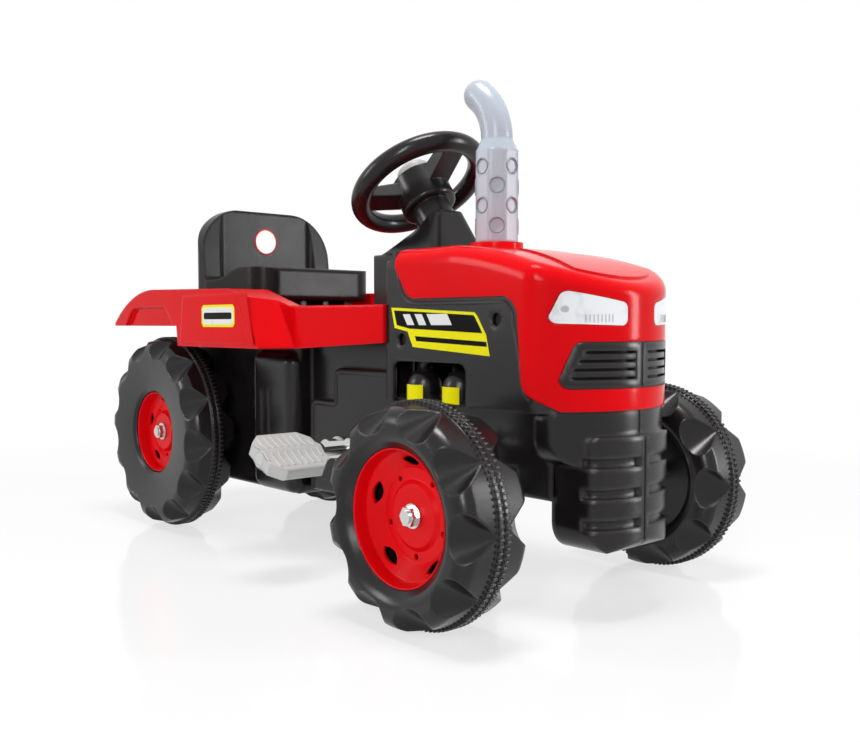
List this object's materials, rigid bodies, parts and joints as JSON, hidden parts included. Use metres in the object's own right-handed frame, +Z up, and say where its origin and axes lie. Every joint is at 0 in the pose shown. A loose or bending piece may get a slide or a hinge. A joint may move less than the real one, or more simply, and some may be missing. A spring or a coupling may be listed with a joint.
{
  "type": "ride-on pedal tractor toy",
  "caption": "Child's ride-on pedal tractor with a moulded body, bucket seat, steered front wheels, chain-driven rear wheels, an exhaust stack and a tow eye.",
  "frame": {"origin": "on the floor, under the middle of the whole tractor", "axes": "+Z up, -Y towards the front of the tractor, +X towards the tractor's left"},
  "size_m": [0.4264, 0.793, 0.5243],
  "materials": {
    "black_body": "satin",
    "red_body": "gloss",
    "seat_black": "satin",
    "steering_black": "satin",
    "silver_plastic": "satin",
    "grey_plastic": "satin",
    "clear_lens": "clear gloss",
    "tyre_black": "satin",
    "rim_red": "gloss",
    "zinc_steel": "bright zinc",
    "chain_steel": "oiled",
    "bush_plastic": "satin"
  },
  "bodies": {
    "frame": {"chassis_right": "black_body", "chassis_left": "black_body", "hood": "red_body", "headlight_right": "clear_lens", "headlight_left": "clear_lens", "exhaust_stack": "silver_plastic", "rear_body": "red_body", "seat": "seat_black", "column_cover": "black_body", "front_axle_beam": "zinc_steel", "drive_chain": "chain_steel", "axle_bush_right": "bush_plastic", "axle_bush_left": "bush_plastic", "crank_bush_right": "bush_plastic", "crank_bush_left": "bush_plastic", "panel_screws": "zinc_steel", "tow_bracket": "zinc_steel"},
    "steering": {"steering_column": "zinc_steel", "steering_wheel": "steering_black"},
    "horn": {"horn_button": "grey_plastic"},
    "knuckle_right": {"steering_knuckle_right": "zinc_steel", "front_nut_right": "zinc_steel"},
    "knuckle_left": {"steering_knuckle_left": "zinc_steel", "front_nut_left": "zinc_steel"},
    "track_rod": {"tie_rod": "zinc_steel"},
    "front_wheel_right": {"front_tyre_outer_right": "tyre_black", "front_tyre_inner_right": "tyre_black", "front_rim_right": "rim_red"},
    "front_wheel_left": {"front_tyre_outer_left": "tyre_black", "front_tyre_inner_left": "tyre_black", "front_rim_left": "rim_red"},
    "rear_drive": {"rear_axle": "zinc_steel", "rear_sprocket": "chain_steel", "rear_nut_right": "zinc_steel", "rear_nut_left": "zinc_steel", "rear_tyre_outer_left": "tyre_black", "rear_tyre_inner_left": "tyre_black", "rear_rim_left": "rim_red"},
    "rear_wheel_right": {"rear_tyre_outer_right": "tyre_black", "rear_tyre_inner_right": "tyre_black", "rear_rim_right": "rim_red"},
    "crank": {"crank_axle": "zinc_steel", "crank_sprocket": "chain_steel", "crank_arm_right": "black_body", "crank_arm_left": "black_body", "pedal_spindle_right": "zinc_steel", "pedal_spindle_left": "zinc_steel"},
    "pedal_right_pad": {"pedal_right": "grey_plastic"},
    "pedal_left_pad": {"pedal_left": "grey_plastic"}
  },
  "joints": [
    {"name": "steering_turn", "type": "hinge", "parent": "frame", "child": "steering", "pos_m": [0, -0.085, 0.425], "axis": [0, 0.5592, 0.829], "range_deg": [-36, 36]},
    {"name": "horn_press", "type": "slide", "parent": "steering", "child": "horn", "axis": [0, -0.5592, -0.829], "range_m": [0, 0.004], "stiffness_N_per_m": 600, "springref_m": -0.001},
    {"name": "knuckle_right_turn", "type": "hinge", "parent": "frame", "child": "knuckle_right", "pos_m": [-0.112, -0.2865, 0.1], "axis": [0, 0, 1], "range_deg": [-19.9, 19.9]},
    {"name": "front_wheel_right_spin", "type": "hinge", "parent": "knuckle_right", "child": "front_wheel_right", "pos_m": [-0.174, -0.2865, 0.1], "axis": [1, 0, 0], "continuous": true},
    {"name": "knuckle_left_turn", "type": "hinge", "parent": "frame", "child": "knuckle_left", "pos_m": [0.112, -0.2865, 0.1], "axis": [0, 0, 1], "range_deg": [-19.9, 19.9]},
    {"name": "front_wheel_left_spin", "type": "hinge", "parent": "knuckle_left", "child": "front_wheel_left", "pos_m": [0.174, -0.2865, 0.1], "axis": [1, 0, 0], "continuous": true},
    {"name": "track_rod_swing", "type": "hinge", "parent": "knuckle_right", "child": "track_rod", "pos_m": [-0.112, -0.22745, 0.153], "axis": [0, 0, 1], "range_deg": [-19.9, 19.9]},
    {"name": "rear_axle_spin", "type": "hinge", "parent": "frame", "child": "rear_drive", "pos_m": [0, 0.2725, 0.124], "axis": [1, 0, 0], "continuous": true},
    {"name": "rear_wheel_right_spin", "type": "hinge", "parent": "rear_drive", "child": "rear_wheel_right", "pos_m": [-0.128, 0.2725, 0.124], "axis": [1, 0, 0], "continuous": true},
    {"name": "crank_spin", "type": "hinge", "parent": "frame", "child": "crank", "pos_m": [0, -0.027, 0.124], "axis": [1, 0, 0], "continuous": true},
    {"name": "pedal_right_spin", "type": "hinge", "parent": "crank", "child": "pedal_right_pad", "pos_m": [-0.1685, -0.06971, 0.129], "axis": [1, 0, 0], "continuous": true},
    {"name": "pedal_left_spin", "type": "hinge", "parent": "crank", "child": "pedal_left_pad", "pos_m": [0.1685, 0.01571, 0.119], "axis": [1, 0, 0], "continuous": true}
  ],
  "couplings": [
    {"joint": "knuckle_right_turn", "follows": "steering_turn", "ratio": 0.5495},
    {"joint": "knuckle_left_turn", "follows": "steering_turn", "ratio": 0.5495},
    {"joint": "track_rod_swing", "follows": "steering_turn", "ratio": -0.5495},
    {"joint": "crank_spin", "follows": "rear_axle_spin", "ratio": 0.6667}
  ]
}
